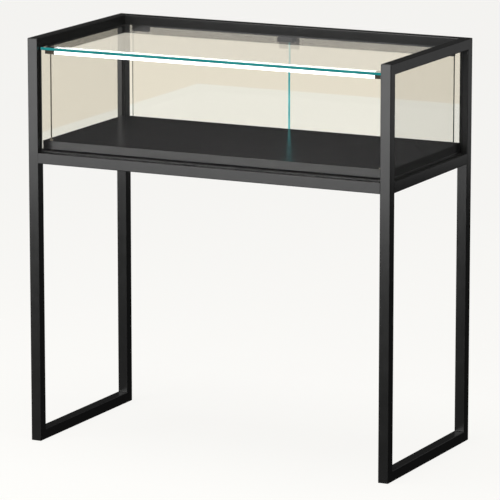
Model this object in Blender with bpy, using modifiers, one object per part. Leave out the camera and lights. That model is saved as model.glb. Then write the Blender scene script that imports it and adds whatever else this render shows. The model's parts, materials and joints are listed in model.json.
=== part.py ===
"""Glazed display case on a black steel frame with two sled-leg side frames.

Metres, +Z up. The origin is on the floor under the middle of the case. The front
pane faces -Y and the two glass doors are at the back, towards +Y.
"""
import math

import bmesh
import bpy
from mathutils import Matrix, Vector

# Overall size
WIDTH = 0.915
DEPTH = 0.455
HEIGHT = 0.950

# Square steel tube of the frame
TUBE = 0.025
TUBE_WALL = 0.0015
TUBE_CORNER = 0.0012
MID_RAIL_TOP = 0.684

# Gap left between pieces that touch
FIT = 0.0003

# How far a cutter runs on past the faces that it cuts through
OVERCUT = 0.004

# Turned shapes
TURN_STEPS = 24
MERGE_DISTANCE = 0.00001

# Eased edges
SMALL_EDGE = 0.0004
DECK_EDGE = 0.0006
STRIKE_EDGE_EASE = 0.0002
INLET_EDGE = 0.0008

# Glazing
GLASS = 0.006
GLASS_ARRIS = 0.0004
PANE_INSET = 0.0135
PANE_END_GAP = 0.0008
TOP_GLASS_DROP = 0.0215
LEDGE_SHEET = 0.0015
LEDGE_REACH = 0.008
LEDGE_FRONT = 0.050

# Base panel, deck and the pads between them
BASE_SHEET = 0.0017
DECK_THICKNESS = 0.020
DECK_SIDE_INSET = 0.0203
DECK_FRONT_INSET = 0.035
DECK_REAR_INSET = 0.026
PAD_RADIUS = 0.012
PAD_THICKNESS = 0.0016
PAD_X = 0.380
PAD_Y = 0.130

# Doors
DOOR_EDGE_INSET = 0.042
DOOR_MEETING_GAP = 0.0025
PIVOT_INSET = 0.050
CLAMP_LENGTH = 0.045
CLAMP_HEIGHT = 0.0163
CLAMP_SKIN = 0.0015
CLAMP_WEB = 0.002
CLAMP_SWING = 0.0125
PIN_RADIUS = 0.002
BUSH_FLANGE_RADIUS = 0.0055
BUSH_FLANGE = 0.0012
BUSH_RADIUS = 0.0038
BUSH_LENGTH = 0.0032
PIN_SHORT_OF_BUSH = 0.0005

# Touch latch and the strike plates it pushes on
STRIKE_WIDTH = 0.024
STRIKE_HEIGHT = 0.028
STRIKE_SHEET = 0.001
STRIKE_TOP = 0.919
STRIKE_EDGE = 0.0025
CATCH_WIDTH = 0.040
CATCH_LENGTH = 0.020
CATCH_HEIGHT = 0.0100
CATCH_UNDER_RAIL = 0.0005
PLUNGER_X = 0.0145
PLUNGER_RADIUS = 0.003
PLUNGER_LENGTH = 0.0149
PLUNGER_NOSE = 0.0039
CATCH_BORE_DEPTH = 0.017
SPRING_RADIUS = 0.0017
SPRING_WIRE = 0.0003
SPRING_TURNS = 8
SPRING_STEPS = 10
SPRING_ROOM = 0.0036
SCREW_X = 0.0045
SCREW_RADIUS = 0.0012
SCREW_HEAD_RADIUS = 0.0022
SCREW_HEAD = 0.0012
SCREW_FROM_RAIL = 0.005

# Light bar, its posts and its wiring
LIGHT_SIZE_Y = 0.012
LIGHT_FRONT = 0.033
LIGHT_BOTTOM = 0.9112
LIGHT_WALL = 0.001
LIGHT_CORNER = 0.0015
BLOCK_LENGTH = 0.024
BLOCK_OUTER = 0.029
BLOCK_HEIGHT = 0.0108
BOARD_WIDTH = 0.008
BOARD_THICKNESS = 0.001
BOARD_SHORT = 0.004
POST_INSET = 0.040
POST_RADIUS = 0.0015
POST_SOCKET = 0.008
COLLAR_RADIUS = 0.004
COLLAR_HEIGHT = 0.0025
LEAD_RADIUS = 0.0007
LEAD_BEND = 0.012
LEAD_DROP_BEND = 0.0012
INLET_X = -0.300
INLET_FROM_REAR = 0.060
INLET_SIZE = 0.016
INLET_HEIGHT = 0.012
INLET_BORE_RADIUS = 0.0034
INLET_BORE_DEPTH = 0.009
LEAD_HOLE_RADIUS = 0.0017
LEAD_HOLE_X = 0.004

# Worked out from the sizes above
HALF_W = WIDTH / 2
HALF_D = DEPTH / 2
TOP_GLASS_TOP = HEIGHT - TOP_GLASS_DROP
TOP_GLASS_UNDER = TOP_GLASS_TOP - GLASS
RAIL_UNDER = HEIGHT - TUBE
BASE_BOTTOM = MID_RAIL_TOP + FIT
BASE_TOP = BASE_BOTTOM + BASE_SHEET
PAD_BOTTOM = BASE_TOP + FIT
DECK_BOTTOM = PAD_BOTTOM + PAD_THICKNESS + FIT
DECK_TOP = DECK_BOTTOM + DECK_THICKNESS
DOOR_Y = HALF_D - PANE_INSET - GLASS / 2
CLAMP_DEPTH = GLASS + 2 * FIT + 2 * CLAMP_SKIN
CLAMP_TOP = RAIL_UNDER - FIT - BUSH_FLANGE - FIT
CLAMP_FOOT = MID_RAIL_TOP + FIT + BUSH_FLANGE + FIT
DOOR_TOP = CLAMP_TOP - CLAMP_WEB - FIT
DOOR_BOTTOM = CLAMP_FOOT + CLAMP_WEB + FIT
STRIKE_Y = DOOR_Y - GLASS / 2 - FIT - STRIKE_SHEET / 2
PLUNGER_TIP_Y = STRIKE_Y - STRIKE_SHEET / 2 - FIT
CATCH_REAR_Y = HALF_D - TUBE + CATCH_UNDER_RAIL
LEDGE_TOP = TOP_GLASS_UNDER - FIT
LEDGE_UNDER = LEDGE_TOP - LEDGE_SHEET
CATCH_TOP = LEDGE_UNDER - FIT
CATCH_Z = CATCH_TOP - CATCH_HEIGHT / 2
LIGHT_Y = -HALF_D + LIGHT_FRONT + LIGHT_SIZE_Y / 2
LIGHT_TOP = TOP_GLASS_UNDER - 2 * FIT
POST_Y = -HALF_D + POST_INSET
POST_FOOT = BASE_TOP + FIT
LEAD_Z = DECK_BOTTOM - LEAD_RADIUS - FIT

SIDES = (("left", -1), ("right", 1))
ENDS = (("top", 1), ("bottom", -1))

parts = None
cutters = None


# ---------------------------------------------------------------- materials

def make_material(name, color, roughness, metallic=0.0, transmission=0.0):
    material = bpy.data.materials.new(name)
    material.use_nodes = True
    shader = material.node_tree.nodes["Principled BSDF"]
    shader.inputs["Base Color"].default_value = (*color, 1.0)
    shader.inputs["Roughness"].default_value = roughness
    shader.inputs["Metallic"].default_value = metallic
    shader.inputs["Transmission Weight"].default_value = transmission
    material.diffuse_color = (*color, 1.0)
    return material


def paint(obj, look):
    """Give a part its own material, named after the part."""
    obj.data.materials.append(make_material(f"{obj.name}_material", *look))


BLACK_STEEL = ((0.022, 0.022, 0.023), 0.42, 0.0)
BLACK_PANEL = ((0.030, 0.030, 0.031), 0.22, 0.0)
BLACK_PLASTIC = ((0.030, 0.027, 0.024), 0.45, 0.0)
CLEAR_GLASS = ((0.86, 0.93, 0.90), 0.02, 0.0, 1.0)
BRONZE_METAL = ((0.30, 0.25, 0.19), 0.35, 1.0)
STEEL_METAL = ((0.62, 0.60, 0.57), 0.32, 1.0)
OPAL = ((0.95, 0.95, 0.93), 0.45, 0.0)
BOARD_WHITE = ((0.85, 0.86, 0.84), 0.55, 0.0)
RUBBER = ((0.040, 0.040, 0.040), 0.80, 0.0)
LEAD_BLACK = ((0.020, 0.020, 0.020), 0.50, 0.0)


# ---------------------------------------------------------------- shape helpers

def link_mesh(name, bm, centre, collection):
    """Turn a bmesh into an object at centre and free the bmesh."""
    mesh = bpy.data.meshes.new(name)
    bmesh.ops.recalc_face_normals(bm, faces=bm.faces[:])
    bm.to_mesh(mesh)
    bm.free()
    obj = bpy.data.objects.new(name, mesh)
    obj.location = centre
    collection.objects.link(obj)
    return obj


def box_bmesh(size):
    bm = bmesh.new()
    bmesh.ops.create_cube(bm, size=1.0)
    bmesh.ops.scale(bm, vec=Vector(size), verts=bm.verts[:])
    return bm


def box(name, low, high, look, edge=0.0):
    """A block between two corners, its edges eased by a small bevel."""
    low = Vector(low)
    high = Vector(high)
    bm = box_bmesh(high - low)
    if edge:
        bmesh.ops.bevel(bm, geom=bm.edges[:], offset=edge, segments=1, affect="EDGES")
    obj = link_mesh(name, bm, (low + high) / 2, parts)
    paint(obj, look)
    return obj


def as_cutter(obj):
    obj.hide_render = True
    obj.display_type = "WIRE"
    return obj


def box_cutter(name, low, high):
    low = Vector(low)
    high = Vector(high)
    return as_cutter(link_mesh(name, box_bmesh(high - low), (low + high) / 2, cutters))


def rod_bmesh(radius, length, axis, segments=24):
    """A capped cylinder centred on its origin, along the X, Y or Z axis."""
    bm = bmesh.new()
    bmesh.ops.create_cone(bm, cap_ends=True, segments=segments, radius1=radius,
                          radius2=radius, depth=length)
    turn = {"X": Matrix.Rotation(math.pi / 2, 3, "Y"),
            "Y": Matrix.Rotation(math.pi / 2, 3, "X"),
            "Z": Matrix.Identity(3)}[axis]
    bmesh.ops.rotate(bm, cent=(0, 0, 0), matrix=turn, verts=bm.verts[:])
    return bm


def smooth_round(obj):
    obj.data.shade_smooth()
    obj.data.set_sharp_from_angle(angle=math.radians(35))


def rod(name, radius, low, high, axis, look, segments=24):
    """A round bar from low to high along one axis."""
    low = Vector(low)
    high = Vector(high)
    bm = rod_bmesh(radius, (high - low).length, axis, segments)
    obj = link_mesh(name, bm, (low + high) / 2, parts)
    smooth_round(obj)
    paint(obj, look)
    return obj


def rod_cutter(name, radius, low, high, axis):
    low = Vector(low)
    high = Vector(high)
    bm = rod_bmesh(radius, (high - low).length, axis)
    return as_cutter(link_mesh(name, bm, (low + high) / 2, cutters))


def cut(obj, cutter):
    modifier = obj.modifiers.new(f"cut_{cutter.name}", "BOOLEAN")
    modifier.operation = "DIFFERENCE"
    modifier.object = cutter


def turned(name, profile, centre, look, turn=(0.0, 0.0, 0.0), ring=True):
    """A shape turned about local Z from (radius, height) points, outer side first.

    A ring's profile closes on itself. A solid's starts and ends on the axis.
    """
    if ring:
        outline = (*profile, profile[0])
    else:
        outline = ((0.0, profile[0][1]), *profile, (0.0, profile[-1][1]))
    mesh = bpy.data.meshes.new(name)
    bm = bmesh.new()
    verts = [bm.verts.new((radius, 0.0, height)) for radius, height in outline]
    for first, second in zip(verts, verts[1:]):
        bm.edges.new((first, second))
    bmesh.ops.remove_doubles(bm, verts=bm.verts[:], dist=MERGE_DISTANCE)
    bm.to_mesh(mesh)
    bm.free()
    obj = bpy.data.objects.new(name, mesh)
    obj.location = centre
    obj.rotation_euler = turn
    parts.objects.link(obj)
    screw = obj.modifiers.new("turn", "SCREW")
    screw.angle = math.tau
    screw.steps = TURN_STEPS
    screw.render_steps = TURN_STEPS
    screw.use_merge_vertices = True
    screw.merge_threshold = MERGE_DISTANCE
    screw.use_smooth_shade = True
    paint(obj, look)
    return obj


def wire(name, points, radius, look):
    """A round wire along a list of points, with closed ends."""
    curve = bpy.data.curves.new(name, "CURVE")
    curve.dimensions = "3D"
    curve.bevel_depth = radius
    curve.bevel_resolution = 2
    curve.use_fill_caps = True
    spline = curve.splines.new("POLY")
    spline.points.add(len(points) - 1)
    for point, place in zip(spline.points, points):
        point.co = (*place, 1.0)
    obj = bpy.data.objects.new(name, curve)
    parts.objects.link(obj)
    paint(obj, look)
    return obj


def ride(obj, pivot):
    """Hang an object on its body's empty without moving it in the world."""
    obj.parent = pivot
    obj.location = Vector(obj.location) - pivot.location


def pivot_empty(name, place):
    empty = bpy.data.objects.new(name, None)
    empty.location = place
    empty.empty_display_size = 0.03
    parts.objects.link(empty)
    return empty


# ---------------------------------------------------------------- frame

def square_tube(name, low, high, axis, mitre=None):
    """A hollow square tube along one axis, open at both ends.

    mitre is (index, sign): the tube's outer side, which stays full length while
    the opposite side is cut back by one tube width at 45 degrees at both ends.
    """
    low = Vector(low)
    high = Vector(high)
    size = high - low
    bm = box_bmesh(size)
    along = "XYZ".index(axis)
    long_edges = [edge for edge in bm.edges
                  if abs((edge.verts[0].co - edge.verts[1].co)[along]) > size[along] / 2]
    bmesh.ops.bevel(bm, geom=long_edges, offset=TUBE_CORNER, segments=2, profile=0.5,
                    affect="EDGES")
    if mitre is not None:
        across, outer = mitre
        for vert in bm.verts:
            back = TUBE / 2 - outer * vert.co[across] + FIT * math.sqrt(0.5)
            vert.co[along] -= math.copysign(back, vert.co[along])
    obj = link_mesh(name, bm, (low + high) / 2, parts)
    inner_low = low + Vector([TUBE_WALL] * 3)
    inner_high = high - Vector([TUBE_WALL] * 3)
    inner_low[along] = low[along] - TUBE
    inner_high[along] = high[along] + TUBE
    cut(obj, box_cutter(f"{name}_hollow", inner_low, inner_high))
    paint(obj, BLACK_STEEL)
    return obj


def side_frame(side, sign):
    """Two legs, a top rail and a foot rail mitred into a loop, and a mid rail."""
    outer = sign * HALF_W
    inner = sign * (HALF_W - TUBE)
    x_low = min(outer, inner)
    x_high = max(outer, inner)
    for place, end in (("front", -1), ("rear", 1)):
        y_low = min(end * HALF_D, end * (HALF_D - TUBE))
        square_tube(f"{side}_{place}_leg", (x_low, y_low, 0.0),
                    (x_high, y_low + TUBE, HEIGHT), "Z", (1, end))
    square_tube(f"{side}_top_rail", (x_low, -HALF_D, HEIGHT - TUBE),
                (x_high, HALF_D, HEIGHT), "Y", (2, 1))
    square_tube(f"{side}_foot_rail", (x_low, -HALF_D, 0.0), (x_high, HALF_D, TUBE), "Y", (2, -1))
    reach = HALF_D - TUBE - FIT
    square_tube(f"{side}_mid_rail", (x_low, -reach, MID_RAIL_TOP - TUBE),
                (x_high, reach, MID_RAIL_TOP), "Y")


def cross_rails():
    """The rails that tie the two side frames together."""
    reach = HALF_W - TUBE - FIT
    square_tube("front_mid_rail", (-reach, -HALF_D, MID_RAIL_TOP - TUBE),
                (reach, -HALF_D + TUBE, MID_RAIL_TOP), "X")
    lower = square_tube("rear_mid_rail", (-reach, HALF_D - TUBE, MID_RAIL_TOP - TUBE),
                        (reach, HALF_D, MID_RAIL_TOP), "X")
    upper = square_tube("rear_top_rail", (-reach, HALF_D - TUBE, HEIGHT - TUBE),
                        (reach, HALF_D, HEIGHT), "X")
    for side, sign in SIDES:
        x = sign * (HALF_W - PIVOT_INSET)
        for rail, wall in ((lower, MID_RAIL_TOP), (upper, RAIL_UNDER)):
            cutter = rod_cutter(f"{side}_bush_hole_{rail.name}", BUSH_RADIUS + FIT,
                                (x, DOOR_Y, wall - OVERCUT), (x, DOOR_Y, wall + OVERCUT), "Z")
            cut(rail, cutter)


def glass_ledges():
    """Thin angles on the inner faces of the top rails that carry the top glass.

    The rear one ends clear of the door clamps, whose outer corners swing inwards.
    """
    rise = TOP_GLASS_TOP - LEDGE_UNDER
    front = -HALF_D + LEDGE_FRONT
    back = HALF_D - TUBE - FIT
    start = HALF_W - TUBE - FIT
    for side, sign in SIDES:
        angle_bar(f"{side}_glass_ledge", back - front, rise,
                  (sign * start, (front + back) / 2, LEDGE_UNDER), 0.0 if sign < 0 else math.pi)
    rear_end = HALF_W - PIVOT_INSET - CLAMP_SWING
    angle_bar("rear_glass_ledge", 2 * rear_end, rise,
              (0.0, HALF_D - TUBE - FIT, LEDGE_UNDER), -math.pi / 2)


def angle_bar(name, length, rise, corner, heading):
    """An L outline extruded along its length; heading turns it about Z."""
    outline = ((0.0, 0.0), (LEDGE_REACH, 0.0), (LEDGE_REACH, LEDGE_SHEET),
               (LEDGE_SHEET, LEDGE_SHEET), (LEDGE_SHEET, rise), (0.0, rise))
    curve = bpy.data.curves.new(name, "CURVE")
    curve.dimensions = "2D"
    curve.fill_mode = "BOTH"
    curve.extrude = length / 2
    spline = curve.splines.new("POLY")
    spline.points.add(len(outline) - 1)
    spline.use_cyclic_u = True
    for point, (across, up) in zip(spline.points, outline):
        point.co = (across, up, 0.0, 1.0)
    obj = bpy.data.objects.new(name, curve)
    obj.rotation_euler = (math.pi / 2, 0.0, heading)
    obj.location = corner
    parts.objects.link(obj)
    paint(obj, BLACK_STEEL)
    return obj


# ---------------------------------------------------------------- glazing and deck

def panes():
    """The four fixed panes."""
    ledge_side = HALF_W - TUBE - FIT - LEDGE_SHEET - FIT
    ledge_rear = HALF_D - TUBE - FIT - LEDGE_SHEET - FIT
    box("top_glass", (-ledge_side, -HALF_D + PANE_INSET, TOP_GLASS_UNDER),
        (ledge_side, ledge_rear, TOP_GLASS_TOP), CLEAR_GLASS, GLASS_ARRIS)
    half = HALF_W - TUBE - PANE_END_GAP
    box("front_glass", (-half, -HALF_D + PANE_INSET, MID_RAIL_TOP + FIT),
        (half, -HALF_D + PANE_INSET + GLASS, TOP_GLASS_UNDER - FIT), CLEAR_GLASS, GLASS_ARRIS)
    reach = HALF_D - TUBE - PANE_END_GAP
    for side, sign in SIDES:
        near = sign * (HALF_W - PANE_INSET)
        far = sign * (HALF_W - PANE_INSET - GLASS)
        box(f"{side}_glass", (min(near, far), -reach, MID_RAIL_TOP + FIT),
            (max(near, far), reach, RAIL_UNDER - FIT), CLEAR_GLASS, GLASS_ARRIS)


def floor_of_the_case():
    """The base panel on the mid rails, four pads and the raised deck."""
    side = HALF_W - DECK_SIDE_INSET
    rear = HALF_D - DECK_REAR_INSET
    base = box("base_panel", (-side, -HALF_D + DECK_SIDE_INSET, BASE_BOTTOM),
               (side, rear, BASE_TOP), BLACK_STEEL)
    leg_side = HALF_W - TUBE - FIT
    leg_back = -HALF_D + TUBE + FIT
    inlet_y = HALF_D - INLET_FROM_REAR
    for name, sign in SIDES:
        notch_x = (sign * leg_side, sign * (HALF_W + TUBE))
        cut(base, box_cutter(f"{name}_base_notch", (min(notch_x), leg_back - TUBE, BASE_BOTTOM - TUBE),
                             (max(notch_x), leg_back, BASE_TOP + TUBE)))
        x = INLET_X + sign * LEAD_HOLE_X
        cut(base, rod_cutter(f"{name}_lead_hole", LEAD_HOLE_RADIUS, (x, inlet_y, BASE_BOTTOM - OVERCUT),
                             (x, inlet_y, BASE_TOP + OVERCUT), "Z"))
    corners = [(row, end, name, sign) for name, sign in SIDES
               for row, end in (("front", -1), ("rear", 1))]
    for row, end, name, sign in corners:
        x = sign * PAD_X
        y = end * PAD_Y
        rod(f"{name}_{row}_deck_pad", PAD_RADIUS, (x, y, PAD_BOTTOM),
            (x, y, PAD_BOTTOM + PAD_THICKNESS), "Z", RUBBER)
    deck = box("display_deck", (-side, -HALF_D + DECK_FRONT_INSET, DECK_BOTTOM),
               (side, rear, DECK_TOP), BLACK_PANEL, DECK_EDGE)
    for name, sign in SIDES:
        x = sign * (HALF_W - POST_INSET)
        cut(deck, rod_cutter(f"{name}_post_hole", POST_RADIUS + FIT,
                             (x, POST_Y, DECK_BOTTOM - OVERCUT), (x, POST_Y, DECK_TOP + OVERCUT), "Z"))


# ---------------------------------------------------------------- doors

def door(side, sign):
    """One glass door with its two clamps and pins, hung on an empty on its axis."""
    axis_x = sign * (HALF_W - PIVOT_INSET)
    pivot = pivot_empty(f"{side}_door_pivot", (axis_x, DOOR_Y, (DOOR_TOP + DOOR_BOTTOM) / 2))
    outer = sign * (HALF_W - DOOR_EDGE_INSET)
    inner = sign * DOOR_MEETING_GAP / 2
    glass = box(f"{side}_door_glass",
                (min(outer, inner), DOOR_Y - GLASS / 2, DOOR_BOTTOM),
                (max(outer, inner), DOOR_Y + GLASS / 2, DOOR_TOP), CLEAR_GLASS, GLASS_ARRIS)
    ride(glass, pivot)
    for end, up in ENDS:
        clamp, pin = hinge_clamp(f"{side}_{end}", sign, up, axis_x)
        ride(clamp, pivot)
        ride(pin, pivot)
    plate_inner = sign * STRIKE_EDGE
    plate_outer = sign * (STRIKE_EDGE + STRIKE_WIDTH)
    strike = box(f"{side}_strike_plate",
                 (min(plate_inner, plate_outer), STRIKE_Y - STRIKE_SHEET / 2,
                  STRIKE_TOP - STRIKE_HEIGHT),
                 (max(plate_inner, plate_outer), STRIKE_Y + STRIKE_SHEET / 2, STRIKE_TOP),
                 BRONZE_METAL, STRIKE_EDGE_EASE)
    ride(strike, pivot)


def hinge_clamp(name, sign, up, axis_x):
    """A channel that grips a corner of the glass, and the pin that it turns on."""
    far = CLAMP_TOP if up > 0 else CLAMP_FOOT
    near = far - up * CLAMP_HEIGHT
    web = far - up * CLAMP_WEB
    outer = sign * (HALF_W - DOOR_EDGE_INSET + FIT)
    inner = outer - sign * CLAMP_LENGTH
    clamp = box(f"{name}_hinge_clamp",
                (min(outer, inner), DOOR_Y - CLAMP_DEPTH / 2, min(far, near)),
                (max(outer, inner), DOOR_Y + CLAMP_DEPTH / 2, max(far, near)),
                BLACK_STEEL, SMALL_EDGE)
    slot_end = near - up * OVERCUT
    slot = box_cutter(f"{name}_clamp_slot",
                      (min(outer, inner) - OVERCUT, DOOR_Y - GLASS / 2 - FIT, min(web, slot_end)),
                      (max(outer, inner) + OVERCUT, DOOR_Y + GLASS / 2 + FIT, max(web, slot_end)))
    cut(clamp, slot)
    hole_low = min(far, web) - OVERCUT
    hole_high = max(far, web) + OVERCUT
    hole = rod_cutter(f"{name}_clamp_hole", PIN_RADIUS + FIT,
                      (axis_x, DOOR_Y, hole_low), (axis_x, DOOR_Y, hole_high), "Z")
    cut(clamp, hole)
    tip = far + up * (2 * FIT + BUSH_FLANGE + BUSH_LENGTH - PIN_SHORT_OF_BUSH)
    pin = rod(f"{name}_hinge_pin", PIN_RADIUS, (axis_x, DOOR_Y, min(web, tip)),
              (axis_x, DOOR_Y, max(web, tip)), "Z", STEEL_METAL)
    return clamp, pin


def pivot_bush(side, sign, end, up):
    """A flanged bush pressed into a rail, which a door pin turns in."""
    axis_x = sign * (HALF_W - PIVOT_INSET)
    rail_face = RAIL_UNDER if up > 0 else MID_RAIL_TOP
    bore = PIN_RADIUS + FIT
    top = FIT + BUSH_FLANGE
    profile = ((BUSH_FLANGE_RADIUS, top), (BUSH_FLANGE_RADIUS, FIT), (BUSH_RADIUS, FIT),
               (BUSH_RADIUS, -BUSH_LENGTH), (bore, -BUSH_LENGTH), (bore, top))
    turn = (math.pi, 0.0, 0.0) if up > 0 else (0.0, 0.0, 0.0)
    turned(f"{side}_{end}_pivot_bush", profile, (axis_x, DOOR_Y, rail_face), BLACK_PLASTIC, turn)


# ---------------------------------------------------------------- touch latch

def touch_latch():
    """A double push latch under the rear ledge: body, plungers, springs, screws."""
    body = box("latch_body", (-CATCH_WIDTH / 2, CATCH_REAR_Y - CATCH_LENGTH, CATCH_TOP - CATCH_HEIGHT),
               (CATCH_WIDTH / 2, CATCH_REAR_Y, CATCH_TOP), BLACK_PLASTIC, SMALL_EDGE)
    bore_end = CATCH_REAR_Y - CATCH_BORE_DEPTH
    for side, sign in SIDES:
        x = sign * PLUNGER_X
        cut(body, rod_cutter(f"{side}_latch_bore", PLUNGER_RADIUS + FIT, (x, bore_end, CATCH_Z),
                             (x, CATCH_REAR_Y + OVERCUT, CATCH_Z), "Y"))
        latch_plunger(side, x)
        latch_spring(side, x, bore_end)
    for side, sign in SIDES:
        latch_screw(body, side, sign * SCREW_X)


def latch_plunger(side, x):
    """A round plunger, hollow from the inner end so that its spring sits inside."""
    pivot = pivot_empty(f"{side}_plunger_slide", (x, PLUNGER_TIP_Y, CATCH_Z))
    inner_y = PLUNGER_TIP_Y - PLUNGER_LENGTH
    plunger = rod(f"{side}_latch_plunger", PLUNGER_RADIUS, (x, inner_y, CATCH_Z),
                  (x, PLUNGER_TIP_Y, CATCH_Z), "Y", BLACK_PLASTIC)
    cut(plunger, rod_cutter(f"{side}_plunger_hollow", SPRING_RADIUS + 2 * SPRING_WIRE + FIT,
                            (x, inner_y - OVERCUT, CATCH_Z),
                            (x, PLUNGER_TIP_Y - PLUNGER_NOSE, CATCH_Z), "Y"))
    ride(plunger, pivot)


def latch_spring(side, x, bore_end):
    """A coil spring between the end of the bore and the inside of the plunger."""
    start = bore_end + FIT + SPRING_WIRE
    length = PLUNGER_TIP_Y - PLUNGER_NOSE - SPRING_ROOM - SPRING_WIRE - start
    steps = SPRING_STEPS * SPRING_TURNS
    points = []
    for step in range(steps + 1):
        angle = math.tau * step / SPRING_STEPS
        points.append((x + SPRING_RADIUS * math.cos(angle), start + length * step / steps,
                       CATCH_Z + SPRING_RADIUS * math.sin(angle)))
    wire(f"{side}_latch_spring", points, SPRING_WIRE, STEEL_METAL)


def latch_screw(body, side, x):
    """A screw through the latch body into the ledge above it."""
    y = HALF_D - TUBE - SCREW_FROM_RAIL
    foot = CATCH_TOP - CATCH_HEIGHT
    hole = rod_cutter(f"{side}_latch_screw_hole", SCREW_RADIUS + FIT, (x, y, foot - OVERCUT),
                      (x, y, CATCH_TOP + OVERCUT), "Z")
    cut(body, hole)
    profile = ((SCREW_RADIUS, CATCH_HEIGHT), (SCREW_RADIUS, -FIT), (SCREW_HEAD_RADIUS, -FIT),
               (SCREW_HEAD_RADIUS, -FIT - SCREW_HEAD))
    turned(f"{side}_latch_screw", profile, (x, y, foot), STEEL_METAL, ring=False)


# ---------------------------------------------------------------- light

def light_bar():
    """An opal square tube between two end blocks, with the light board inside."""
    inner_end = HALF_W - BLOCK_OUTER - BLOCK_LENGTH
    length = 2 * (inner_end - FIT)
    y_low = LIGHT_Y - LIGHT_SIZE_Y / 2
    y_high = LIGHT_Y + LIGHT_SIZE_Y / 2
    bm = box_bmesh((length, LIGHT_SIZE_Y, LIGHT_TOP - LIGHT_BOTTOM))
    long_edges = [edge for edge in bm.edges
                  if abs((edge.verts[0].co - edge.verts[1].co).x) > length / 2]
    bmesh.ops.bevel(bm, geom=long_edges, offset=LIGHT_CORNER, segments=3, profile=0.5,
                    affect="EDGES")
    centre_z = (LIGHT_TOP + LIGHT_BOTTOM) / 2
    diffuser = link_mesh("light_diffuser", bm, (0.0, LIGHT_Y, centre_z), parts)
    paint(diffuser, OPAL)
    cut(diffuser, box_cutter("diffuser_hollow",
                             (-inner_end - OVERCUT, y_low + LIGHT_WALL, LIGHT_BOTTOM + LIGHT_WALL),
                             (inner_end + OVERCUT, y_high - LIGHT_WALL, LIGHT_TOP - LIGHT_WALL)))
    board_top = LIGHT_TOP - LIGHT_WALL - FIT
    board_end = inner_end - BOARD_SHORT
    box("light_board", (-board_end, LIGHT_Y - BOARD_WIDTH / 2, board_top - BOARD_THICKNESS),
        (board_end, LIGHT_Y + BOARD_WIDTH / 2, board_top), BOARD_WHITE)
    for side, sign in SIDES:
        light_end(side, sign, inner_end, y_low, y_high)


def light_end(side, sign, inner_end, y_low, y_high):
    """The end block, the post that carries it and the collar at the post's foot."""
    inner = sign * inner_end
    outer = sign * (HALF_W - BLOCK_OUTER)
    foot = LIGHT_TOP - BLOCK_HEIGHT
    block = box(f"{side}_light_block", (min(inner, outer), y_low, foot),
                (max(inner, outer), y_high, LIGHT_TOP), BLACK_PLASTIC, SMALL_EDGE)
    x = sign * (HALF_W - POST_INSET)
    cut(block, rod_cutter(f"{side}_post_socket", POST_RADIUS + FIT, (x, POST_Y, foot - OVERCUT),
                          (x, POST_Y, foot + POST_SOCKET), "Z"))
    rod(f"{side}_light_post", POST_RADIUS, (x, POST_Y, POST_FOOT),
        (x, POST_Y, foot + POST_SOCKET - FIT), "Z", BRONZE_METAL, 16)
    bore = POST_RADIUS + FIT
    ring = ((COLLAR_RADIUS, COLLAR_HEIGHT), (COLLAR_RADIUS, FIT), (bore, FIT), (bore, COLLAR_HEIGHT))
    turned(f"{side}_post_collar", ring, (x, POST_Y, DECK_TOP), BRONZE_METAL)


def arc(centre, start, end, steps=6):
    """Points on a quarter turn in the XY plane about centre, from start to end angle."""
    turn = [start + (end - start) * step / steps for step in range(steps + 1)]
    return [(centre[0] + LEAD_BEND * math.cos(a), centre[1] + LEAD_BEND * math.sin(a), LEAD_Z)
            for a in turn]


def light_lead(side, sign):
    """The lead from a post's foot, under the deck, down to the inlet."""
    x = sign * (HALF_W - POST_INSET)
    y_end = HALF_D - INLET_FROM_REAR
    end_x = INLET_X + sign * LEAD_HOLE_X
    corner = (x - sign * LEAD_BEND, y_end - LEAD_BEND)
    if sign < 0:
        bend = arc(corner, math.pi, math.pi / 2)
    else:
        bend = arc(corner, 0.0, math.pi / 2)
    points = [(x, POST_Y + POST_RADIUS + FIT, LEAD_Z)]
    points += bend
    steps = 4
    for step in range(steps + 1):
        a = math.pi / 2 * step / steps
        points.append((end_x + sign * LEAD_DROP_BEND * (1 - math.sin(a)), y_end,
                       LEAD_Z - LEAD_DROP_BEND * (1 - math.cos(a))))
    points.append((end_x, y_end, BASE_BOTTOM))
    wire(f"{side}_light_lead", points, LEAD_RADIUS, LEAD_BLACK)


def light_inlet():
    """The low-voltage socket under the base panel; its bore opens downwards."""
    y = HALF_D - INLET_FROM_REAR
    half = INLET_SIZE / 2
    top = BASE_BOTTOM - FIT
    foot = top - INLET_HEIGHT
    inlet = box("light_inlet", (INLET_X - half, y - half, foot), (INLET_X + half, y + half, top),
                BLACK_PLASTIC, INLET_EDGE)
    cut(inlet, rod_cutter("inlet_bore", INLET_BORE_RADIUS, (INLET_X, y, foot - OVERCUT),
                          (INLET_X, y, foot + INLET_BORE_DEPTH), "Z"))


# ---------------------------------------------------------------- build

def build():
    global parts, cutters
    for obj in list(bpy.data.objects):
        bpy.data.objects.remove(obj, do_unlink=True)
    parts = bpy.data.collections.new("tabletop_display_case")
    cutters = bpy.data.collections.new("cutters")
    for collection in (parts, cutters):
        bpy.context.scene.collection.children.link(collection)
    for side, sign in SIDES:
        side_frame(side, sign)
    cross_rails()
    glass_ledges()
    panes()
    floor_of_the_case()
    for side, sign in SIDES:
        door(side, sign)
        for end, up in ENDS:
            pivot_bush(side, sign, end, up)
    touch_latch()
    light_bar()
    for side, sign in SIDES:
        light_lead(side, sign)
    light_inlet()


build()
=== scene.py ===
"""Looks of the glazed display case: fine steel, glass and fittings, finishes, light and stage.

Metres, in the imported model's frame: +Z up, the front pane faces -Y, the doors are at +Y.
"""
import json
import math

import bmesh
import bpy
from mathutils import Matrix, Vector


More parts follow.
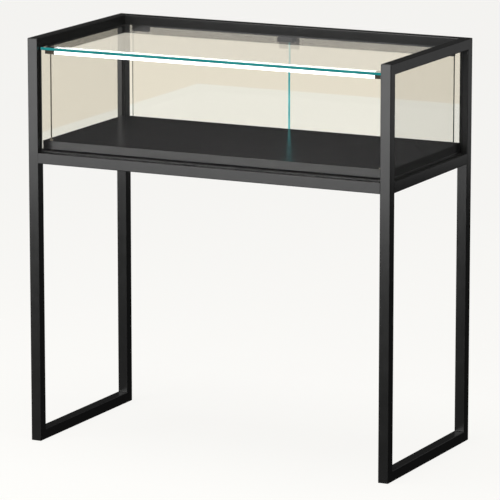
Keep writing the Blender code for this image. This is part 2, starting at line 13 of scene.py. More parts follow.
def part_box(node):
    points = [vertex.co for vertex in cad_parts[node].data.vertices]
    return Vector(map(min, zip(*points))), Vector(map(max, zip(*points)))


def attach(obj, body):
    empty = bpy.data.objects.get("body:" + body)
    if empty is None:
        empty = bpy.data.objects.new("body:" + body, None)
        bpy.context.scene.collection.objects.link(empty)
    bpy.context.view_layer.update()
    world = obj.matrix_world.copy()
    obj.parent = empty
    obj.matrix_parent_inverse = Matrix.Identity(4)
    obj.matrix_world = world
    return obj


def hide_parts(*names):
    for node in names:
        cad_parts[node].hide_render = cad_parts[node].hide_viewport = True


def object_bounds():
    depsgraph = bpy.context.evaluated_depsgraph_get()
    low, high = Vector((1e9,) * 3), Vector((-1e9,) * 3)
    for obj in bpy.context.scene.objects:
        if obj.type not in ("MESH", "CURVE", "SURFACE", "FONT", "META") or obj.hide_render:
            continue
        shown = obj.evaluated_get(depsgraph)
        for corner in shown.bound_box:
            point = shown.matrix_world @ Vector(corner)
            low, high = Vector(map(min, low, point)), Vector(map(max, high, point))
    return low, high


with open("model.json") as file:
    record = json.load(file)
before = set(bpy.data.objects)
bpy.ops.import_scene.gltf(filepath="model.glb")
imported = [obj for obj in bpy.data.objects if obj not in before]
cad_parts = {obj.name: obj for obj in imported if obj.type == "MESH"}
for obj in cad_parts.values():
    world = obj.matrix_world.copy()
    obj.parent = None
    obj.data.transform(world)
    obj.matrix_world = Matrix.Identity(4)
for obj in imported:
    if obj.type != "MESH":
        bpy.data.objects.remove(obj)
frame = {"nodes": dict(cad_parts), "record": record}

CAD_LOW, CAD_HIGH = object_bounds()
CENTRE = (CAD_LOW + CAD_HIGH) / 2
SIDES = (("left", -1), ("right", 1))
ENDS = ("top", "bottom")
CROSS_RAILS = ("front_mid_rail", "rear_mid_rail", "rear_top_rail")

# Camera: the photograph's viewing angle, with no shift
VIEW_AZIMUTH = math.radians(26.314)
VIEW_ELEVATION = math.radians(11.428)
VIEW_DISTANCE = 9.299
VIEW_LENS = 288.94
VIEW_FAR = 200.0
AIM = CENTRE + Vector((0.002, -0.004, -0.0207))

# The colour of what surrounds the case. The wall and the paler floor are seen through glass only.
BACKGROUND = (0.975, 0.968, 0.945)
WALL_BEHIND = (1.03, 0.965, 0.825)
FLOOR_BEHIND = (1.07, 1.06, 0.98)
MIRRORED_WALL = (0.82, 0.775, 0.67)
ROOM = (0.03, 0.03, 0.03)
WALL_Y = 4.67
FLOOR_EDGE_X = -2.52
FLOOR_EDGE_BLUR = 0.008
FLOOR_RADIUS = 60.0
FLOOR_GAP = 0.0005

# Soft panels of light. The front one is centred left of the case and ahead of its front.
PANEL_X = -1.2
PANEL_AHEAD = 2.36
PANEL_Z = 1.32
PANEL_SIZE = (4.6, 2.4)
PANEL_RADIANCE = 3.3
REAR_PANEL_AT = (2.0, 2.9, 0.72)
REAR_PANEL_AIM = (2.0, 0.0, 0.72)
REAR_PANEL_SIZE = (4.6, 1.2)
REAR_PANEL_RADIANCE = 0.3
OVERHEAD_AT = (0.0, -0.2, 3.0)
OVERHEAD_SIZE = (2.4, 1.6)
OVERHEAD_RADIANCE = 4.0
OVERHEAD_COLOR = (1.0, 0.99, 0.97)

# Fine shapes
TUBE_RADIUS = 0.0016
TUBE_SEGMENTS = 3
ARRIS = 0.0003
BEAD_RADIUS = 0.0011
BEAD_STEP = 0.0012
BEAD_RIPPLE = 0.16
BEAD_INSET = 0.002
WELD_OVERLAP = 0.0003
SCREW_RADIUS = 0.0026
SCREW_HEAD = 0.0008
SCREW_SOCKET = 0.0012
SCREW_SHARES = (0.30, 0.72)
COLLAR_EASE = 0.12
ROUND_SEGMENTS = 40
HARD_ANGLE = math.radians(60)
SMOOTH_ANGLE = math.radians(40)
BEAD_SMOOTH_ANGLE = math.radians(60)

# Rubbing, a painted edge highlight and dust: how rubbed edges, lighter partly from rubbing and
# partly as a painted highlight, differ from the rest where a finish doesn't say
RUBBED_AND_HIGHLIT_LIGHTER = 1.4
WORN_GLOSSIER = 0.85
RUBBED_AND_HIGHLIT_WIDTH = 0.0004
DUST = (0.32, 0.31, 0.29)


# ---------------------------------------------------------------- materials

def material(name):
    """A new node material and its Principled shader."""
    made = bpy.data.materials.new(name)
    made.use_nodes = True
    return made, made.node_tree.nodes["Principled BSDF"]


def node(tree, kind, **values):
    """A node whose named inputs or properties are set from values."""
    made = tree.nodes.new(kind)
    for key, value in values.items():
        if key in made.inputs:
            made.inputs[key].default_value = value
        else:
            setattr(made, key, value)
    return made


def noise(tree, scale, detail, stretch=(1.0, 1.0, 1.0)):
    """Noise over the object's own metres; a stretch above 1 squeezes it along that axis."""
    place = node(tree, "ShaderNodeTexCoord")
    spread = node(tree, "ShaderNodeMapping", Scale=stretch)
    made = node(tree, "ShaderNodeTexNoise", Scale=scale, Detail=detail)
    tree.links.new(place.outputs["Object"], spread.inputs["Vector"])
    tree.links.new(spread.outputs["Vector"], made.inputs["Vector"])
    return made.outputs["Fac"]


def remap(tree, value, low, high, start=0.3, stop=0.7):
    """value from start..stop to low..high, held at the ends."""
    made = tree.nodes.new("ShaderNodeMapRange")
    made.inputs["From Min"].default_value = start
    made.inputs["From Max"].default_value = stop
    made.inputs["To Min"].default_value = low
    made.inputs["To Max"].default_value = high
    tree.links.new(value, made.inputs["Value"])
    return made.outputs["Result"]


def product(tree, *factors):
    """The product of several sockets."""
    value = factors[0]
    for factor in factors[1:]:
        made = node(tree, "ShaderNodeMath", operation="MULTIPLY")
        tree.links.new(value, made.inputs[0])
        tree.links.new(factor, made.inputs[1])
        value = made.outputs["Value"]
    return value


def below(tree, value, limit):
    """1 where the socket's value is under the limit, else 0."""
    made = node(tree, "ShaderNodeMath", operation="LESS_THAN")
    made.inputs[1].default_value = limit
    tree.links.new(value, made.inputs[0])
    return made.outputs["Value"]


def blend_colors(tree, factor, first, second):
    """Colour between first and second; each is a colour or an output socket."""
    made = node(tree, "ShaderNodeMix", data_type="RGBA")
    tree.links.new(factor, made.inputs["Factor"])
    for socket, value in ((made.inputs[6], first), (made.inputs[7], second)):
        if isinstance(value, bpy.types.NodeSocket):
            tree.links.new(value, socket)
        else:
            socket.default_value = (*value, 1.0)
    return made.outputs[2]


def blend_values(tree, factor, first, second):
    """Value between a socket and a plain number."""
    made = node(tree, "ShaderNodeMix", data_type="FLOAT")
    tree.links.new(factor, made.inputs["Factor"])
    tree.links.new(first, made.inputs[2])
    made.inputs[3].default_value = second
    return made.outputs[0]


def edge_mask(tree, width):
    """1 along convex and concave edges, broken up by noise; 0 on the flats."""
    rounded = node(tree, "ShaderNodeBevel", samples=4, Radius=width)
    plain = tree.nodes.new("ShaderNodeNewGeometry")
    alike = node(tree, "ShaderNodeVectorMath", operation="DOT_PRODUCT")
    tree.links.new(rounded.outputs["Normal"], alike.inputs[0])
    tree.links.new(plain.outputs["Normal"], alike.inputs[1])
    near = remap(tree, alike.outputs["Value"], 1.0, 0.0, 0.86, 0.985)
    return product(tree, near, remap(tree, noise(tree, 160.0, 4.0), 0.25, 1.0))


def bump(tree, height, distance):
    """A relief that is distance deep where the height socket goes from 0 to 1."""
    made = node(tree, "ShaderNodeBump", Distance=distance, Strength=1.0)
    tree.links.new(height, made.inputs["Height"])
    return made


def finish(name, color, roughness, metallic=0.0, specular=0.5, tone=0.12, spread=0.06,
           grain=900.0, depth=0.00003, stretch=(1.0, 1.0, 1.0), rubbed_and_highlit_edges=None, dust=0.0):
    """A finish with uneven tone, uneven gloss, a fine relief, rubbed edges and, if asked, dust.

    The rubbed edges, given as (colour, roughness, width), are lighter partly from rubbing and
    partly as a painted highlight; if not given, they are a little lighter and glossier than the
    rest.
    """
    made, shader = material(name)
    tree = made.node_tree
    shader.inputs["Metallic"].default_value = metallic
    shader.inputs["Specular IOR Level"].default_value = specular
    darker = [c * (1 - tone) for c in color]
    lighter = [c * (1 + tone) for c in color]
    shade = blend_colors(tree, remap(tree, noise(tree, 14.0, 5.0), 0.0, 1.0), darker, lighter)
    gloss = remap(tree, noise(tree, 30.0, 6.0), roughness - spread, roughness + spread)
    # By default the rubbed edges are glossier and lighter, the lighter colour partly a painted
    # highlight.
    rubbed_and_highlit_default = ([min(1.0, c * RUBBED_AND_HIGHLIT_LIGHTER) for c in color], roughness * WORN_GLOSSIER, RUBBED_AND_HIGHLIT_WIDTH)
    rubbed_and_highlit_color, worn_roughness, width = rubbed_and_highlit_edges or rubbed_and_highlit_default
    # Along the edges the colour turns lighter: partly rubbing, partly a painted highlight.
    mask = edge_mask(tree, width)
    shade = blend_colors(tree, mask, shade, rubbed_and_highlit_color)
    gloss = blend_values(tree, mask, gloss, worn_roughness)
    if dust:
        facing = node(tree, "ShaderNodeSeparateXYZ")
        plain = tree.nodes.new("ShaderNodeNewGeometry")
        tree.links.new(plain.outputs["Normal"], facing.inputs["Vector"])
        upward = remap(tree, facing.outputs["Z"], 0.0, dust, 0.6, 1.0)
        lying = product(tree, upward, remap(tree, noise(tree, 55.0, 6.0), 0.2, 1.0))
        shade = blend_colors(tree, lying, shade, DUST)
    tree.links.new(shade, shader.inputs["Base Color"])
    tree.links.new(gloss, shader.inputs["Roughness"])
    relief = bump(tree, noise(tree, grain, 2.0, stretch), depth)
    tree.links.new(relief.outputs["Normal"], shader.inputs["Normal"])
    return made


def clear_glass():
    """Float glass with a faint warm tint and a hardly visible waviness."""
    made, shader = material("clear_glass_face")
    tree = made.node_tree
    shader.inputs["Base Color"].default_value = (0.985, 0.980, 0.958, 1.0)
    shader.inputs["Roughness"].default_value = 0.0
    shader.inputs["IOR"].default_value = 1.52
    shader.inputs["Transmission Weight"].default_value = 1.0
    wave = bump(tree, noise(tree, 5.0, 1.0), 0.00002)
    tree.links.new(wave.outputs["Normal"], shader.inputs["Normal"])
    return made


def glass_edge(name, dark, light, painted_glow):
    """A polished green-blue edge. Its glow is painted: an emission that stands for the light
    running inside the pane. With no glow and darker colours it is a painted-shade copy.
    """
    made, shader = material(name)
    tree = made.node_tree
    along = remap(tree, noise(tree, 22.0, 4.0), 0.0, 1.0)
    shade = blend_colors(tree, along, dark, light)
    tree.links.new(shade, shader.inputs["Base Color"])
    # The edge's colour is also its emission: a painted glow.
    tree.links.new(shade, shader.inputs["Emission Color"])
    shader.inputs["Roughness"].default_value = 0.16
    shader.inputs["Emission Strength"].default_value = painted_glow
    lines = bump(tree, noise(tree, 700.0, 2.0, (0.05, 1.0, 1.0)), 0.00002)
    tree.links.new(lines.outputs["Normal"], shader.inputs["Normal"])
    return made


def lit_opal():
    """The lit diffuser: opal plastic with the faint rhythm of the light points behind it."""
    made, shader = material("opal_diffuser_lit")
    tree = made.node_tree
    shader.inputs["Base Color"].default_value = (0.93, 0.93, 0.91, 1.0)
    shader.inputs["Roughness"].default_value = 0.42
    shader.inputs["Emission Strength"].default_value = 2.2
    place = node(tree, "ShaderNodeTexCoord")
    points = node(tree, "ShaderNodeTexWave", Scale=19.0)
    tree.links.new(place.outputs["Object"], points.inputs["Vector"])
    tree.links.new(blend_colors(tree, points.outputs["Fac"], (0.88, 0.90, 0.92), (1.0, 1.0, 1.0)),
                   shader.inputs["Emission Color"])
    lines = bump(tree, noise(tree, 1500.0, 1.0, (0.01, 1.0, 1.0)), 0.00002)
    tree.links.new(lines.outputs["Normal"], shader.inputs["Normal"])
    return made


# The frame's rubbed edges: lighter partly from rubbing and partly as a painted highlight.
RUBBED_AND_HIGHLIT_STEEL = ((0.034, 0.034, 0.0345), 0.21, 0.0009)
LOOKS = {
    "frame_steel": finish("frame_steel_powder", (0.016, 0.016, 0.0155), 0.23, specular=0.5,
                          tone=0.06, spread=0.02, grain=1300.0, depth=0.00002,
                          rubbed_and_highlit_edges=RUBBED_AND_HIGHLIT_STEEL, dust=0.002),
    "panel_steel": finish("panel_steel_powder", (0.008, 0.008, 0.008), 0.55, specular=0.2,
                          grain=1300.0, depth=0.00003),
    "deck_black": finish("deck_black_laminate", (0.018, 0.018, 0.019), 0.24, specular=0.5,
                         tone=0.05, spread=0.02, grain=2600.0, depth=0.00001,
                         rubbed_and_highlit_edges=((0.034, 0.034, 0.035), 0.28, 0.0006)),
    "pad_rubber": finish("pad_rubber_black", (0.030, 0.030, 0.030), 0.82, specular=0.3,
                         grain=1800.0, depth=0.00008),
    "hinge_black": finish("hinge_black_anodised", (0.040, 0.038, 0.036), 0.38, metallic=0.35,
                          grain=3200.0, depth=0.00003, rubbed_and_highlit_edges=((0.16, 0.15, 0.14), 0.28, 0.0006)),
    "bare_steel": finish("bare_steel_turned", (0.60, 0.59, 0.57), 0.30, metallic=1.0, tone=0.06,
                         grain=2400.0, depth=0.00003, stretch=(1.0, 1.0, 0.1)),
    "black_plastic": finish("black_plastic_moulded", (0.034, 0.032, 0.030), 0.46, grain=2200.0,
                            depth=0.00006, rubbed_and_highlit_edges=((0.07, 0.066, 0.062), 0.40, 0.0005)),
    "strike_bronze": finish("strike_bronze_brushed", (0.42, 0.38, 0.33), 0.36, metallic=0.9,
                            tone=0.08, grain=1500.0, depth=0.00004, stretch=(1.0, 1.0, 0.04),
                            rubbed_and_highlit_edges=((0.62, 0.58, 0.52), 0.25, 0.0004)),
    "block_bronze": finish("block_bronze_anodised", (0.095, 0.078, 0.062), 0.34, metallic=0.6,
                           tone=0.08, grain=1700.0, depth=0.00003, stretch=(0.05, 1.0, 1.0),
                           rubbed_and_highlit_edges=((0.24, 0.19, 0.14), 0.26, 0.0005)),
    "post_bronze": finish("post_bronze_brushed", (0.38, 0.34, 0.28), 0.30, metallic=0.9,
                          tone=0.08, grain=1800.0, depth=0.00003, stretch=(1.0, 1.0, 0.05)),
    "opal_diffuser": lit_opal(),
    "board_white": finish("board_white_mask", (0.80, 0.81, 0.78), 0.50, tone=0.04, grain=1500.0,
                          depth=0.00003),
    "lead_black": finish("lead_black_sheath", (0.022, 0.022, 0.022), 0.50, grain=900.0,
                         depth=0.00004),
}
# Glass face looks. The lit edges, the doors' meeting edges and the arrises beside them carry a
# painted glow; the doors' other edges are a darker painted-shade copy.
CLEAR, PAINTED_GLOW_EDGE, PAINTED_GLOW_ARRIS, PAINTED_SHADE_EDGE, SEALED, DOOR_PAINTED_GLOW_EDGE = range(6)
GLASS_LOOKS = (
    clear_glass(),
    glass_edge("clear_glass_painted_glow_edge", (0.008, 0.24, 0.25), (0.03, 0.34, 0.34), 0.75),
    glass_edge("clear_glass_painted_glow_arris", (0.03, 0.26, 0.27), (0.08, 0.38, 0.38), 0.60),
    glass_edge("clear_glass_painted_shade_edge", (0.015, 0.060, 0.055), (0.03, 0.10, 0.09), 0.0),
    finish("clear_glass_black_seal", (0.012, 0.012, 0.012), 0.50, specular=0.3, tone=0.2,
           grain=700.0, depth=0.00002),
    glass_edge("clear_glass_door_painted_glow_edge", (0.06, 0.42, 0.44), (0.14, 0.56, 0.58), 0.65),
)


def slot_of_node():
    """The record's material slot of each CAD node."""
    return {part["node"]: part["material_slot"] for part in frame["record"]["subparts"]}


def paint_cad(slots):
    """Give every CAD node that stays the finish of its slot."""
    for name, obj in frame["nodes"].items():
        if slots[name] == "clear_glass":
            continue
        look = LOOKS[slots[name]]
        if not obj.data.materials:
            obj.data.materials.append(look)
        for place in obj.material_slots:
            place.material = look


# ---------------------------------------------------------------- shape helpers

def add_piece(name, bm, looks, body, nodes=(), smooth=None):
    """Turn a bmesh into a piece of the object: its finish, its body and what it stands for.

    smooth is the angle above which an edge stays sharp; without it every face is flat.
    """
    mesh = bpy.data.meshes.new(name)
    bmesh.ops.recalc_face_normals(bm, faces=bm.faces[:])
    bm.to_mesh(mesh)
    bm.free()
    for look in looks:
        mesh.materials.append(look)
    obj = bpy.data.objects.new(name, mesh)
    bpy.context.scene.collection.objects.link(obj)
    if smooth is not None:
        mesh.shade_smooth()
        mesh.set_sharp_from_angle(angle=smooth)
        flats = obj.modifiers.new("flat_faces", "WEIGHTED_NORMAL")
        flats.weight = 100
        flats.keep_sharp = True
    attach(obj, body)
    if nodes:
        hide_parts(*nodes)
    return obj


def block(low, high):
    """A bmesh box between two corners."""
    bm = bmesh.new()
    bmesh.ops.create_cube(bm, size=1.0)
    bmesh.ops.scale(bm, vec=high - low, verts=bm.verts[:])
    bmesh.ops.translate(bm, vec=(low + high) / 2, verts=bm.verts[:])
    return bm


def round_edges(bm, edges, radius, segments):
    """Round the edges, or chamfer them when segments is 1."""
    bmesh.ops.bevel(bm, geom=edges, offset=radius, segments=segments, profile=0.5, affect="EDGES")


def hard_edges(bm):
    """Edges where two faces meet at more than HARD_ANGLE."""
    return [edge for edge in bm.edges if edge.calc_face_angle(0.0) > HARD_ANGLE]


def lathe(profile, centre, axis="Z"):
    """A solid turned about the Z or -Y axis through centre, from (radius, height) points."""
    bm = bmesh.new()
    outline = [(0.0, profile[0][1]), *profile, (0.0, profile[-1][1])]
    verts = [bm.verts.new((radius, 0.0, height)) for radius, height in outline]
    edges = [bm.edges.new(pair) for pair in zip(verts, verts[1:])]
    bmesh.ops.spin(bm, geom=verts + edges, cent=(0, 0, 0), axis=(0, 0, 1), angle=math.tau,
                   steps=ROUND_SEGMENTS, use_merge=True)
    bmesh.ops.remove_doubles(bm, verts=bm.verts[:], dist=1e-6)
    if axis == "-Y":
        bmesh.ops.rotate(bm, cent=(0, 0, 0), matrix=Matrix.Rotation(math.pi / 2, 3, "X"),
                         verts=bm.verts[:])
    bmesh.ops.translate(bm, vec=centre, verts=bm.verts[:])
    return bm


def append_mesh(target, source):
    """Add source's geometry to target and free source."""
    mesh = bpy.data.meshes.new("joined")
    source.to_mesh(mesh)
    source.free()
    target.from_mesh(mesh)
    bpy.data.meshes.remove(mesh)


# ---------------------------------------------------------------- steel

def side_loop(side):
    """Two legs, top rail and foot rail as one welded loop with its seams ground flush."""
    names = [f"{side}_{part}" for part in ("front_leg", "rear_leg", "top_rail", "foot_rail")]
    low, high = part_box(names[0])
    width = high.x - low.x
    y_low, y_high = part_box(names[0])[0].y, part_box(names[1])[1].y
    z_low, z_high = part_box(names[3])[0].z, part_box(names[2])[1].z
    outer = [(y_low, z_low), (y_high, z_low), (y_high, z_high), (y_low, z_high)]
    inner = [(y + math.copysign(width, -y), z + math.copysign(width, (z_low + z_high) / 2 - z))
             for y, z in outer]
    bm = bmesh.new()
    rings = [[bm.verts.new((low.x, y, z)) for y, z in ring] for ring in (outer, inner)]
    faces = []
    for i in range(len(outer)):
        j = (i + 1) % len(outer)
        faces.append(bm.faces.new((rings[0][i], rings[0][j], rings[1][j], rings[1][i])))
    grown = bmesh.ops.extrude_face_region(bm, geom=faces)
    moved = [item for item in grown["geom"] if isinstance(item, bmesh.types.BMVert)]
    bmesh.ops.translate(bm, vec=(width, 0.0, 0.0), verts=moved)
    bmesh.ops.recalc_face_normals(bm, faces=bm.faces[:])
    round_edges(bm, hard_edges(bm), TUBE_RADIUS, TUBE_SEGMENTS)
    add_piece(f"{side}_side_loop", bm, [LOOKS["frame_steel"]], "case", names,
              SMOOTH_ANGLE)


def straight_rail(name):
    """One rail with its long edges rounded; its ends are welded against its neighbours."""
    low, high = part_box(name)
    size = high - low
    along = max(range(3), key=lambda i: size[i])
    closing = Vector((0.0, 0.0, 0.0))
    closing[along] = WELD_OVERLAP
    bm = block(low - closing, high + closing)
    long_edges = [edge for edge in bm.edges
                  if abs((edge.verts[0].co - edge.verts[1].co)[along]) > size[along] / 2]
    round_edges(bm, long_edges, TUBE_RADIUS, TUBE_SEGMENTS)
    add_piece(f"{name}_welded", bm, [LOOKS["frame_steel"]], "case", [name],
              SMOOTH_ANGLE)


def bead(start, stop):
    """A short rippled weld bead between two points."""
    curve = bpy.data.curves.new("bead", "CURVE")
    curve.dimensions = "3D"
    curve.bevel_depth = BEAD_RADIUS
    curve.bevel_resolution = 3
    curve.use_fill_caps = True
    count = int((stop - start).length / BEAD_STEP)
    spline = curve.splines.new("POLY")
    spline.points.add(count)
    for i, point in enumerate(spline.points):
        share = i / count
        point.co = (*start.lerp(stop, share), 1.0)
        taper = min(1.0, 0.5 + 4 * min(share, 1 - share))
        point.radius = taper * (1 + BEAD_RIPPLE * math.cos(i * math.pi))
    obj = bpy.data.objects.new("bead", curve)
    bpy.context.scene.collection.objects.link(obj)
    made = bpy.data.meshes.new_from_object(obj.evaluated_get(bpy.context.evaluated_depsgraph_get()))
    bm = bmesh.new()
    bm.from_mesh(made)
    bmesh.ops.remove_doubles(bm, verts=bm.verts[:], dist=1e-6)
    bpy.data.objects.remove(obj)
    bpy.data.curves.remove(curve)
    bpy.data.meshes.remove(made)
    return bm


def weld_beads(side, sign):
    """Fillet welds in the corners under the rails, where they meet the legs."""
    joined = bmesh.new()
    for rail in CROSS_RAILS:
        low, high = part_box(rail)
        x = sign * high.x
        append_mesh(joined, bead(Vector((x, low.y + BEAD_INSET, low.z)),
                                 Vector((x, high.y - BEAD_INSET, low.z))))
    low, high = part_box(f"{side}_mid_rail")
    for y in (low.y, high.y):
        append_mesh(joined, bead(Vector((low.x + BEAD_INSET, y, low.z)),
                                 Vector((high.x - BEAD_INSET, y, low.z))))
    add_piece(f"{side}_weld_beads", joined, [LOOKS["frame_steel"]], "case", (),
              BEAD_SMOOTH_ANGLE)


# ---------------------------------------------------------------- glass

PANES = []


def pane(name, body, lit=None, painted_glow_look=PAINTED_GLOW_EDGE, other=SEALED):
    """A clear pane. Its side towards lit is polished, ground along its arrises and painted with a
    glow;
    its other sides are sealed against the steel or, on a door, polished and painted darker as
    shade, with no glow.
    """
    low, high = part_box(name)
    size = high - low
    thin = min(range(3), key=lambda i: size[i])
    bm = block(low, high)
    round_edges(bm, bm.edges[:], ARRIS, 1)
    bm.normal_update()
    for face in bm.faces:
        towards = face.normal.dot(lit) if lit else 0.0
        if abs(face.normal[thin]) > 0.99:
            face.material_index = CLEAR
        # Faces towards lit get the painted glow, and so do their arrises; the rest are sealed or
        # get the darker painted shade.
        elif towards > 0.99:
            face.material_index = painted_glow_look
        elif towards > 0.5:
            face.material_index = PAINTED_GLOW_ARRIS
        else:
            face.material_index = other
    obj = add_piece(f"{name}_pane", bm, GLASS_LOOKS, body, [name])
    obj.visible_shadow = False
    PANES.append(obj)


# ---------------------------------------------------------------- small fittings

def clamp_screws(side, end):
    """Two small button-head screws in the inner cheek of a hinge clamp."""
    name = f"{side}_{end}_hinge_clamp"
    low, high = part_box(name)
    z = (low.z + high.z) / 2
    joined = bmesh.new()
    profile = [(SCREW_SOCKET, SCREW_HEAD * 0.35), (SCREW_SOCKET, SCREW_HEAD),
               (SCREW_RADIUS * 0.72, SCREW_HEAD), (SCREW_RADIUS * 0.93, SCREW_HEAD * 0.7),
               (SCREW_RADIUS, SCREW_HEAD * 0.3), (SCREW_RADIUS, 0.0)]
    for share in SCREW_SHARES:
        x = low.x + (high.x - low.x) * share
        append_mesh(joined, lathe(profile, Vector((x, low.y, z)), "-Y"))
    add_piece(f"{side}_{end}_clamp_screws", joined, [LOOKS["hinge_black"]],
              f"{side}_door", (), SMOOTH_ANGLE)


def post_and_collar(side):
    """The light bar's post and the collar at its foot, turned fine."""
    low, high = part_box(f"{side}_light_post")
    x, y = (low.x + high.x) / 2, (low.y + high.y) / 2
    radius = (high.x - low.x) / 2
    bm = lathe([(radius, high.z), (radius, low.z)], Vector((x, y, 0.0)))
    add_piece(f"{side}_turned_post", bm, [LOOKS["post_bronze"]], "case",
              [f"{side}_light_post"], SMOOTH_ANGLE)
    low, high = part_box(f"{side}_post_collar")
    outer = (high.x - low.x) / 2
    ease = outer * COLLAR_EASE
    profile = [(radius, high.z), (outer - ease, high.z), (outer, high.z - ease), (outer, low.z)]
    bm = lathe(profile, Vector((x, y, 0.0)))
    add_piece(f"{side}_turned_collar", bm, [LOOKS["post_bronze"]], "case",
              [f"{side}_post_collar"], SMOOTH_ANGLE)


# ---------------------------------------------------------------- stage and light

def unreflected(tree, path):
    """1 for a ray that has only passed through glass since it left the eye."""
    return product(tree, path["Is Transmission Ray"], below(tree, path["Glossy Depth"], 0.5),
                   below(tree, path["Diffuse Depth"], 0.5))


def floor_paper():
    """White to the eye; through glass, a pale floor that ends at the beige wall behind the case;
    and dark in any reflection.
    """
    made, shader = material("studio_floor_paper")
    tree = made.node_tree
    shader.inputs["Base Color"].default_value = (0.10, 0.10, 0.098, 1.0)
    shader.inputs["Roughness"].default_value = 1.0
    shader.inputs["Specular IOR Level"].default_value = 0.0
    shader.inputs["Emission Strength"].default_value = 0.92
    place = node(tree, "ShaderNodeTexCoord")
    parts = node(tree, "ShaderNodeSeparateXYZ")
    tree.links.new(place.outputs["Object"], parts.inputs["Vector"])
    near = remap(tree, parts.outputs["Y"], 1.0, 0.0, WALL_Y - FLOOR_EDGE_BLUR,
                 WALL_Y + FLOOR_EDGE_BLUR)
    right = remap(tree, parts.outputs["X"], 0.0, 1.0, FLOOR_EDGE_X - FLOOR_EDGE_BLUR,
                  FLOOR_EDGE_X + FLOOR_EDGE_BLUR)
    behind = blend_colors(tree, product(tree, near, right), WALL_BEHIND, FLOOR_BEHIND)
    path = node(tree, "ShaderNodeLightPath").outputs
    shown = blend_colors(tree, unreflected(tree, path), ROOM, behind)
    tree.links.new(blend_colors(tree, path["Is Camera Ray"], shown, BACKGROUND),
                   shader.inputs["Emission Color"])
    return made


def stage():
    """A pale floor that the picture's ground and backdrop both show."""
    bm = bmesh.new()
    bmesh.ops.create_circle(bm, cap_ends=True, segments=64, radius=FLOOR_RADIUS)
    mesh = bpy.data.meshes.new("studio_floor")
    bm.to_mesh(mesh)
    bm.free()
    mesh.materials.append(floor_paper())
    floor = bpy.data.objects.new("studio_floor", mesh)
    floor.location.z = CAD_LOW.z - FLOOR_GAP
    bpy.context.scene.collection.objects.link(floor)
    floor.visible_glossy = False
    floor.visible_diffuse = False


def area_light(name, place, aim, size, radiance, color=(1.0, 1.0, 1.0)):
    """A soft panel of that radiance; the camera doesn't see it."""
    lamp = bpy.data.lights.new(name, "AREA")
    lamp.shape = "RECTANGLE"
    lamp.size, lamp.size_y = size
    lamp.energy = radiance * math.pi * size[0] * size[1]
    lamp.color = color
    obj = bpy.data.objects.new(name, lamp)
    obj.location = place
    obj.rotation_euler = (Vector(aim) - Vector(place)).to_track_quat("-Z", "Y").to_euler()
    obj.visible_camera = False
    bpy.context.scene.collection.objects.link(obj)
    return obj


def link_light(lamp, pieces, state):
    """Let a light reach only these pieces, or all but these."""
    group = bpy.data.collections.new(f"{lamp.name}_receivers")
    for piece in pieces:
        group.objects.link(piece)
    for entry in group.collection_objects:
        entry.light_linking.link_state = state
    lamp.light_linking.receiver_collection = group


def front_panel(name, pieces, state):
    """The tall soft panel in front of the case, left of its middle, for some of the pieces."""
    front = CAD_LOW.y
    lamp = area_light(name, (PANEL_X, front - PANEL_AHEAD, PANEL_Z), (PANEL_X, front, PANEL_Z),
                      PANEL_SIZE, PANEL_RADIANCE)
    link_light(lamp, pieces, state)
    return lamp


def lights():
    """The panes mirror neither the front nor the rear panel. The deck's share of the front panel
    comes through the panes, so it is a lamp of its own that is sampled directly.
    """
    deck = frame["nodes"]["display_deck"]
    front_panel("front_panel", PANES + [deck], "EXCLUDE")
    deck_panel = front_panel("deck_panel", [deck], "INCLUDE")
    deck_panel.data.cycles.use_multiple_importance_sampling = False
    rear_panel = area_light("rear_panel", REAR_PANEL_AT, REAR_PANEL_AIM, REAR_PANEL_SIZE,
                            REAR_PANEL_RADIANCE)
    link_light(rear_panel, PANES, "EXCLUDE")
    area_light("overhead", OVERHEAD_AT, (0.0, 0.0, 0.0), OVERHEAD_SIZE, OVERHEAD_RADIANCE,
               OVERHEAD_COLOR)


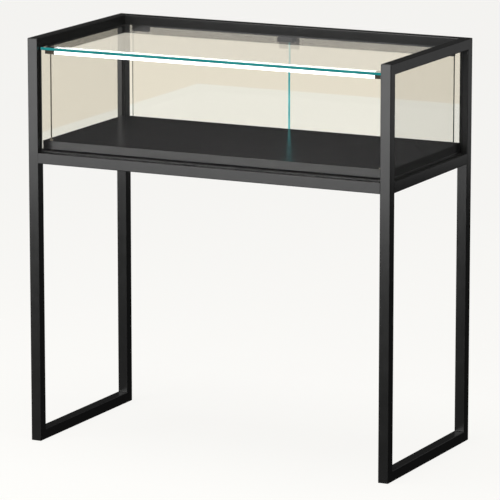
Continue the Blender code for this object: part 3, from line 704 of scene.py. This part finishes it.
def world_light():
    """Plain white to the eye, a beige wall through glass, a pale wall behind the case that
    only clear glass mirrors, and a dim room for everything else.
    """
    world = bpy.data.worlds.new("studio")
    bpy.context.scene.world = world
    world.use_nodes = True
    tree = world.node_tree
    tree.nodes.clear()
    path = node(tree, "ShaderNodeLightPath").outputs
    place = node(tree, "ShaderNodeTexCoord")
    parts = node(tree, "ShaderNodeSeparateXYZ")
    tree.links.new(place.outputs["Generated"], parts.inputs["Vector"])
    mirrored = product(tree, path["Is Singular Ray"],
                       below(tree, path["Transmission Depth"], 2.5),
                       below(tree, path["Glossy Depth"], 1.5),
                       below(tree, path["Diffuse Depth"], 0.5),
                       remap(tree, parts.outputs["Y"], 0.0, 1.0, 0.1, 0.6),
                       remap(tree, parts.outputs["Z"], 0.0, 1.0, -0.05, 0.05))
    color = blend_colors(tree, mirrored, ROOM, MIRRORED_WALL)
    color = blend_colors(tree, unreflected(tree, path), color, WALL_BEHIND)
    color = blend_colors(tree, path["Is Camera Ray"], color, BACKGROUND)
    light = node(tree, "ShaderNodeBackground")
    tree.links.new(color, light.inputs["Color"])
    out = node(tree, "ShaderNodeOutputWorld")
    tree.links.new(light.outputs["Background"], out.inputs["Surface"])


def camera():
    """The photograph's view of the case."""
    lens = bpy.data.cameras.new("camera")
    lens.lens = VIEW_LENS
    lens.clip_end = VIEW_FAR
    obj = bpy.data.objects.new("camera", lens)
    back = Vector((math.sin(VIEW_AZIMUTH) * math.cos(VIEW_ELEVATION),
                   -math.cos(VIEW_AZIMUTH) * math.cos(VIEW_ELEVATION),
                   math.sin(VIEW_ELEVATION)))
    obj.location = AIM + back * VIEW_DISTANCE
    obj.rotation_euler = (-back).to_track_quat("-Z", "Y").to_euler()
    bpy.context.scene.collection.objects.link(obj)
    bpy.context.scene.camera = obj


camera()
paint_cad(slot_of_node())
for side, sign in SIDES:
    side_loop(side)
    straight_rail(f"{side}_mid_rail")
    weld_beads(side, sign)
    post_and_collar(side)
    pane(f"{side}_glass", "case")
    pane(f"{side}_door_glass", f"{side}_door", Vector((-sign, 0, 0)), DOOR_PAINTED_GLOW_EDGE, PAINTED_SHADE_EDGE)
    for end in ENDS:
        clamp_screws(side, end)
for rail in CROSS_RAILS:
    straight_rail(rail)
pane("front_glass", "case")
pane("top_glass", "case", Vector((0, -1, 0)))

stage()
world_light()
lights()
bpy.context.scene.view_settings.view_transform = "Standard"
